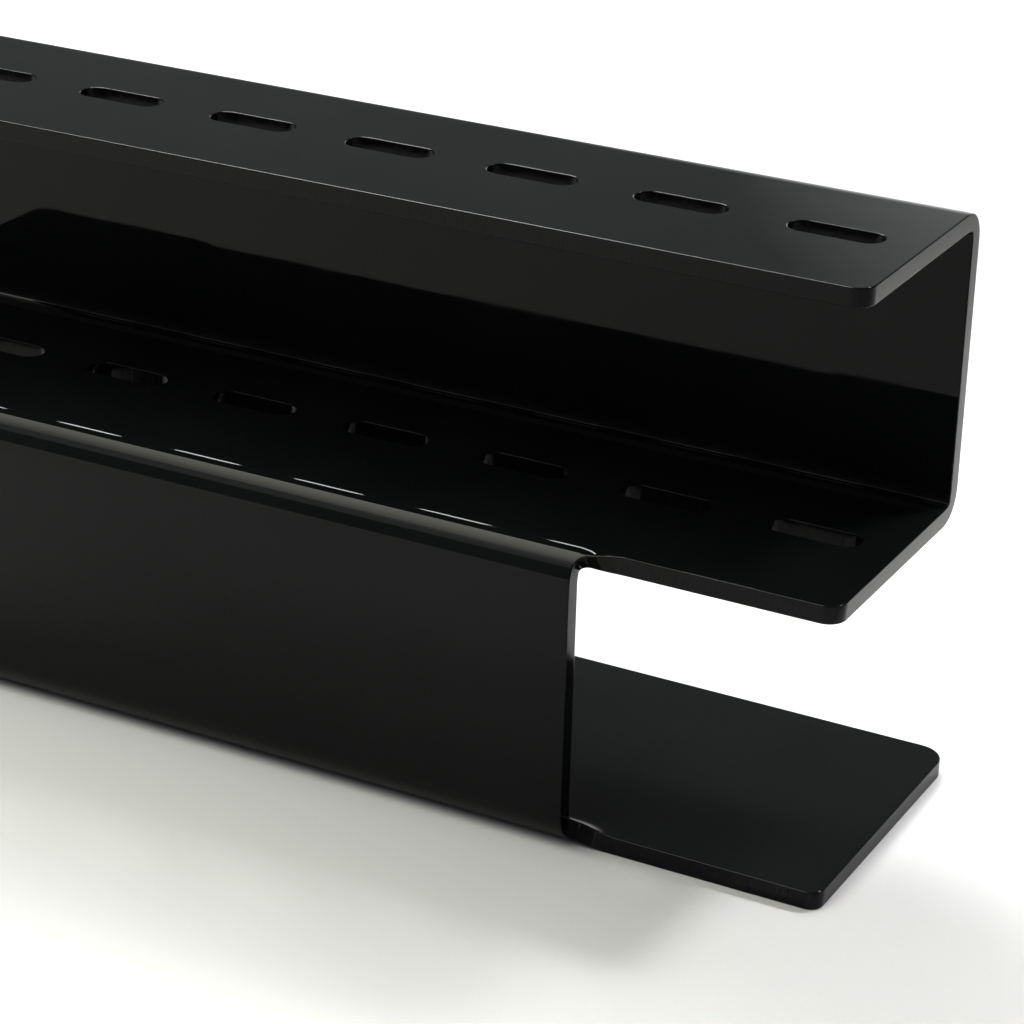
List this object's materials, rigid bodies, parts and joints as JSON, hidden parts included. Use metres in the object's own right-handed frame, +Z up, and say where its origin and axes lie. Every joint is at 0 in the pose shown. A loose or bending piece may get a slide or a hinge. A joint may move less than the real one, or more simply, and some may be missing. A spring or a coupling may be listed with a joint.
{
  "type": "paint rack organizer",
  "caption": "S-shaped tiered desktop rack in gloss black acrylic, with rows of round-ended slots in two shelves and notched ends, for brushes and small paint pots.",
  "frame": {"origin": "centre of the footprint, on the plane that the base stands on", "axes": "+X along the rack's length, -Y towards the front panel, +Z up"},
  "size_m": [0.202, 0.0564, 0.098],
  "materials": {
    "acrylic": "gloss"
  },
  "bodies": {
    "root": {"top_shelf": "acrylic", "top_rear_bend": "acrylic", "back_wall": "acrylic", "lower_rear_bend": "acrylic", "middle_shelf": "acrylic", "upper_front_bend": "acrylic", "front_panel": "acrylic", "lower_front_bend": "acrylic", "base_plate": "acrylic"}
  },
  "joints": []
}
